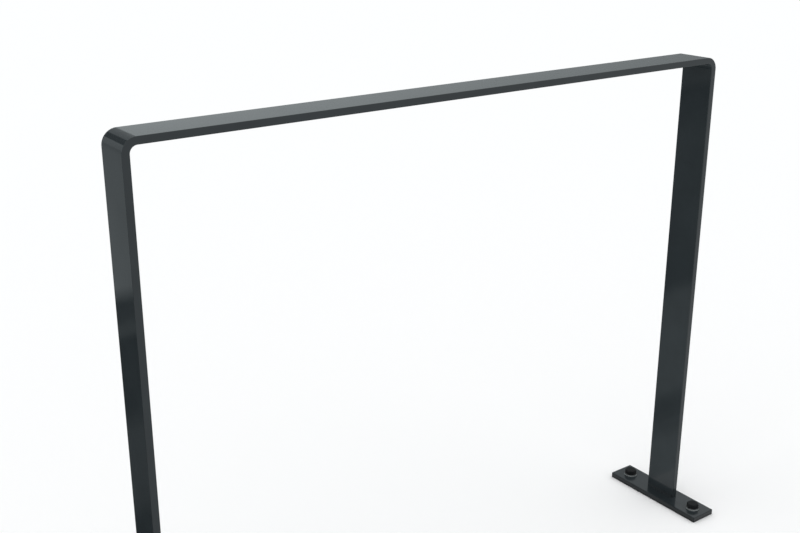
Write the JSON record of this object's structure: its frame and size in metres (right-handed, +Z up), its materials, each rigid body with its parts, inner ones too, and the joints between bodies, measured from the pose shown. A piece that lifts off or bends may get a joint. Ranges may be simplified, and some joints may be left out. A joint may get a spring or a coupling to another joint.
{
  "type": "hoop bike rack",
  "caption": "Flat steel bar bent into an upright square-cornered hoop, welded to two narrow base plates that are bolted to the ground, for bicycles to lean on and be locked to.",
  "frame": {"origin": "on the ground, midway between the two legs and midway across the base plates", "axes": "+X along the hoop towards the right leg, +Y across the hoop towards its back, +Z up"},
  "size_m": [1.044, 0.2, 0.815],
  "materials": {
    "powder_coat": "satin anthracite grey powder coat over steel",
    "weld_coat": "the same powder coat over a rippled weld bead",
    "zinc": "zinc plated, satin",
    "black_bolt": "blackened steel, satin"
  },
  "bodies": {
    "root": {"hoop_bar": "powder_coat", "base_plate_left": "powder_coat", "weld_bead_left_outer": "weld_coat", "weld_bead_left_inner": "weld_coat", "washer_left_front": "zinc", "anchor_bolt_left_front": "black_bolt", "washer_left_back": "zinc", "anchor_bolt_left_back": "black_bolt", "base_plate_right": "powder_coat", "weld_bead_right_outer": "weld_coat", "weld_bead_right_inner": "weld_coat", "washer_right_front": "zinc", "anchor_bolt_right_front": "black_bolt", "washer_right_back": "zinc", "anchor_bolt_right_back": "black_bolt"}
  },
  "joints": []
}
